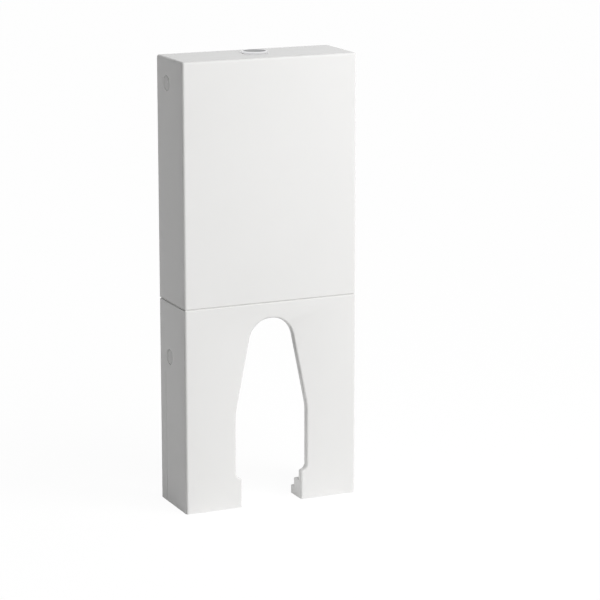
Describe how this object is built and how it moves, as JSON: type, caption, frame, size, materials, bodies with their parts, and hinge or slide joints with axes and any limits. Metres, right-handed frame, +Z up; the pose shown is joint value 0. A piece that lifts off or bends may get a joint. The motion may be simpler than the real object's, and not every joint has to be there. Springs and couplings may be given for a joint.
{
  "type": "toilet cistern",
  "caption": "Tall slim floor-standing toilet cistern in two white glazed casings on a steel wall frame, with a tank, a dual flush button in its top and an arch in its foot.",
  "frame": {"origin": "on the floor, in the middle of the casing's width and depth", "axes": "+X to the right seen from the front, +Y to the wall behind, +Z up; the front is the -Y side"},
  "size_m": [0.4, 0.143, 0.9793],
  "materials": {
    "cap": "white moulded plastic, gloss",
    "chrome_plastic": "chrome-plated plastic, gloss",
    "foam": "light closed-cell foam, matt",
    "glaze": "white glazed ceramic, gloss",
    "red_rubber": "red silicone, matt",
    "rubber": "black rubber, matt",
    "seal_grey": "grey sealing strip, matt",
    "spring_steel": "drawn spring steel",
    "steel": "powder-coated steel, satin",
    "tank": "natural moulded plastic, satin",
    "valve_blue": "blue moulded plastic, satin",
    "valve_grey": "grey moulded plastic, satin",
    "valve_white": "white moulded plastic, satin",
    "zinc": "zinc-plated steel"
  },
  "bodies": {
    "cistern": {"button_bezel": "chrome_plastic", "button_nut": "valve_grey", "casing_pads": "rubber", "casing_screws": "zinc", "fill_gasket": "rubber", "fill_nut": "valve_grey", "fill_outlet_tube": "valve_grey", "fill_valve_body": "valve_white", "float_lever_pin": "zinc", "full_flush_spring": "spring_steel", "half_flush_spring": "spring_steel", "left_caps": "cap", "left_upright": "steel", "lever_pin": "zinc", "lower_casing": "glaze", "outlet_gasket": "rubber", "outlet_nut": "valve_grey", "right_caps": "cap", "right_upright": "steel", "seam_seal": "seal_grey", "shelf_pads": "rubber", "tank_body": "tank", "tank_clips": "steel", "tank_jacket": "foam", "tank_lid": "tank", "tank_shelf": "steel", "top_rail": "steel", "upper_casing": "glaze", "valve_base": "valve_white", "valve_cage": "valve_blue"},
    "half_flush_button": {"half_flush_button": "chrome_plastic", "half_flush_rod": "valve_white"},
    "full_flush_button": {"full_flush_button": "chrome_plastic", "full_flush_rod": "valve_white"},
    "half_flush_lever": {"half_flush_lever": "valve_grey"},
    "full_flush_lever": {"full_flush_lever": "valve_grey"},
    "valve_spindle": {"valve_spindle": "valve_white", "valve_seal": "red_rubber"},
    "half_flush_float": {"half_flush_float": "valve_grey"},
    "float_cup": {"float_cup": "valve_blue"},
    "float_lever": {"float_lever": "valve_grey"}
  },
  "joints": [
    {"name": "half_flush_press", "type": "slide", "parent": "cistern", "child": "half_flush_button", "axis": [0, 0, -1], "range_m": [0, 0.006], "stiffness_N_per_m": 300, "springref_m": -0.006, "deforming": ["half_flush_spring"]},
    {"name": "full_flush_press", "type": "slide", "parent": "cistern", "child": "full_flush_button", "axis": [0, 0, -1], "range_m": [0, 0.006], "stiffness_N_per_m": 300, "springref_m": -0.006, "deforming": ["full_flush_spring"]},
    {"name": "half_flush_rock", "type": "hinge", "parent": "cistern", "child": "half_flush_lever", "pos_m": [0, 0.015, 0.825], "axis": [1, 0, 0], "range_deg": [0, 27.6]},
    {"name": "full_flush_rock", "type": "hinge", "parent": "cistern", "child": "full_flush_lever", "pos_m": [0, 0.015, 0.825], "axis": [-1, 0, 0], "range_deg": [0, 27.6]},
    {"name": "spindle_lift", "type": "slide", "parent": "cistern", "child": "valve_spindle", "axis": [0, 0, 1], "range_m": [0, 0.0122]},
    {"name": "half_float_lift", "type": "slide", "parent": "cistern", "child": "half_flush_float", "axis": [0, 0, 1], "range_m": [0, 0.0122]},
    {"name": "float_rise", "type": "slide", "parent": "cistern", "child": "float_cup", "axis": [0, 0, 1], "range_m": [0, 0.015]},
    {"name": "float_lever_turn", "type": "hinge", "parent": "cistern", "child": "float_lever", "pos_m": [-0.1, 0.009, 0.8385], "axis": [0, -1, 0], "range_deg": [0, 22.7]}
  ],
  "couplings": [
    {"joint": "half_flush_rock", "follows": "half_flush_press", "rad_per_m": 80},
    {"joint": "half_float_lift", "follows": "half_flush_press", "ratio": 2.02},
    {"joint": "full_flush_rock", "follows": "full_flush_press", "rad_per_m": 80},
    {"joint": "spindle_lift", "follows": "full_flush_press", "ratio": 2.02},
    {"joint": "float_lever_turn", "follows": "float_rise", "rad_per_m": 26.316}
  ]
}
